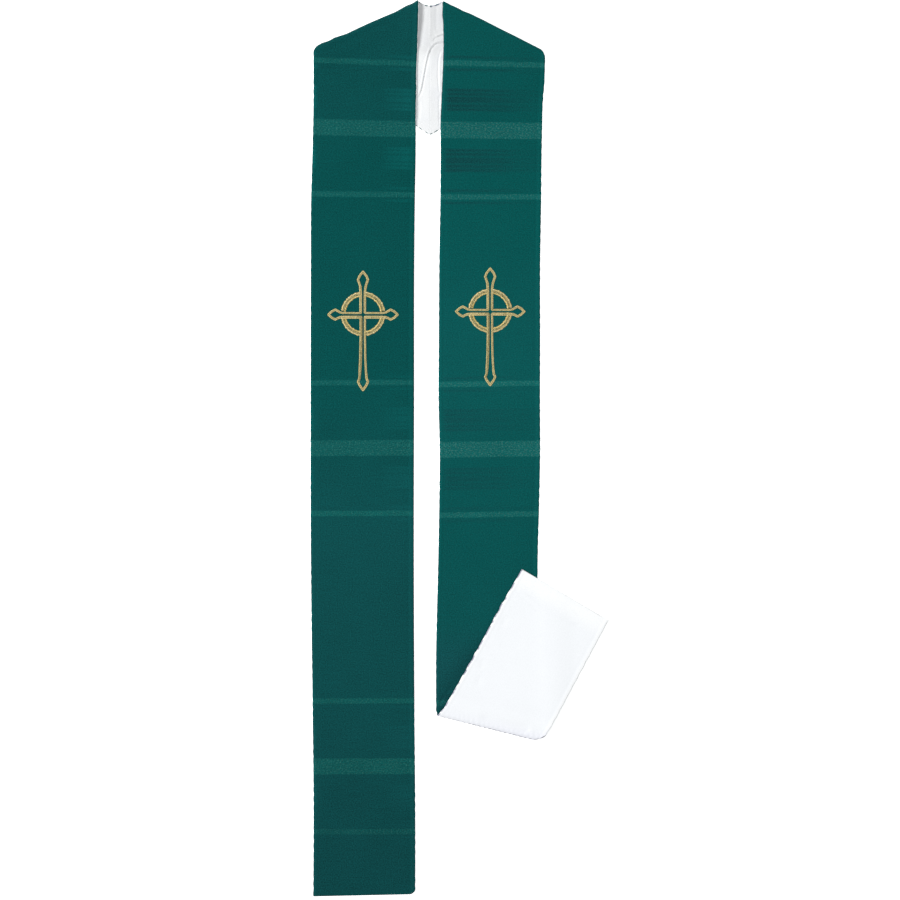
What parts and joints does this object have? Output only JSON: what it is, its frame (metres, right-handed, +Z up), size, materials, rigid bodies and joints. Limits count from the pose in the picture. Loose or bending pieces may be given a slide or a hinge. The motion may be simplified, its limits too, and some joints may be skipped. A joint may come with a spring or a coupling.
{
  "type": "clerical stole",
  "caption": "Long lined clerical stole laid out flat, its bands folded at the shoulders, with a ringed cross on each front and one end turned up.",
  "frame": {"origin": "on the surface that the stole lies on, under the middle of its bounding box", "axes": "+Y from the hems towards the neck, +Z up from the surface, +X to the right of a viewer who looks down at the fronts"},
  "size_m": [0.4102, 1.2306, 0.0091],
  "materials": {
    "face_cloth": "matt woven green cloth with paler stripes across it",
    "lining": "smooth white lining cloth with a soft sheen",
    "gold_thread": "satin-stitched gold embroidery thread"
  },
  "bodies": {
    "root": {"band_left": "face_cloth", "band_right": "face_cloth", "lining_left": "lining", "lining_right": "lining", "cross_left": "gold_thread", "cross_right": "gold_thread"}
  },
  "joints": []
}
